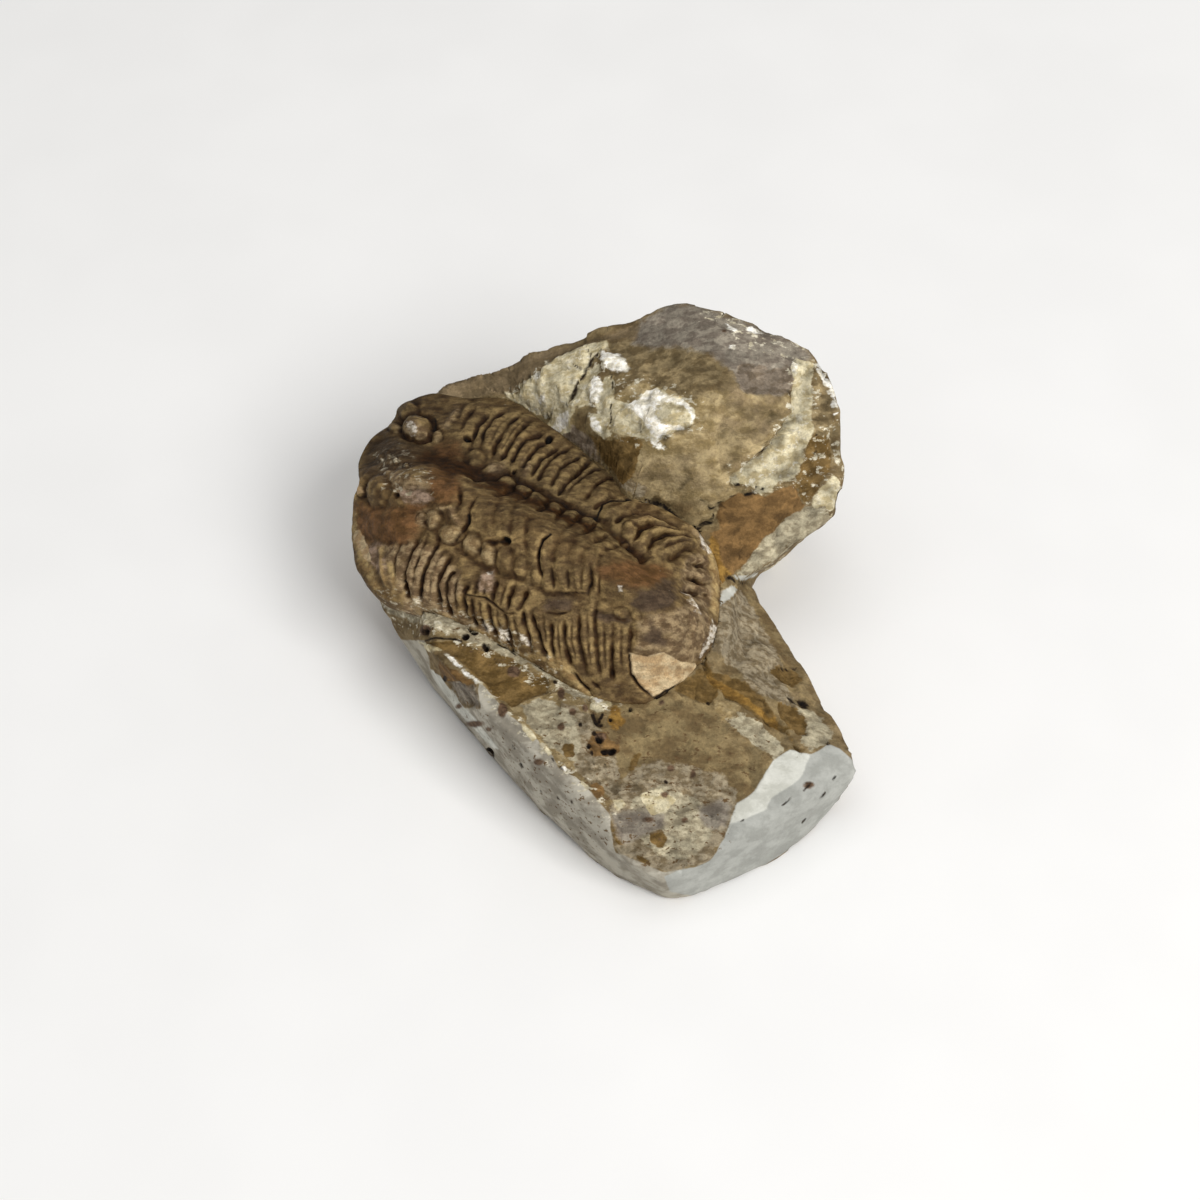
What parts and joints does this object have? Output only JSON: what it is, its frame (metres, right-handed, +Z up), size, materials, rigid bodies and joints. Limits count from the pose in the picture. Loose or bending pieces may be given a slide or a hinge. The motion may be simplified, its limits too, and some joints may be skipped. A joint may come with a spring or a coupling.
{
  "type": "fossil calymene celebra trilobite",
  "caption": "Trilobite fossil with ribbed body lying proud of its irregular piece of dolomite, which rests on a flat underside.",
  "frame": {"origin": "a point near the middle of the stone's flat underside", "axes": "+Z up, -Y to the front with the low slab, the fossil's head points to -X"},
  "size_m": [0.0629, 0.0729, 0.0367],
  "materials": {
    "trilobite_stone": "dull brown internal mould in dolomite",
    "dolomite_matrix": "rough tan and cream dolomite with two ground grey faces"
  },
  "bodies": {
    "root": {"trilobite": "trilobite_stone", "matrix": "dolomite_matrix"}
  },
  "joints": []
}
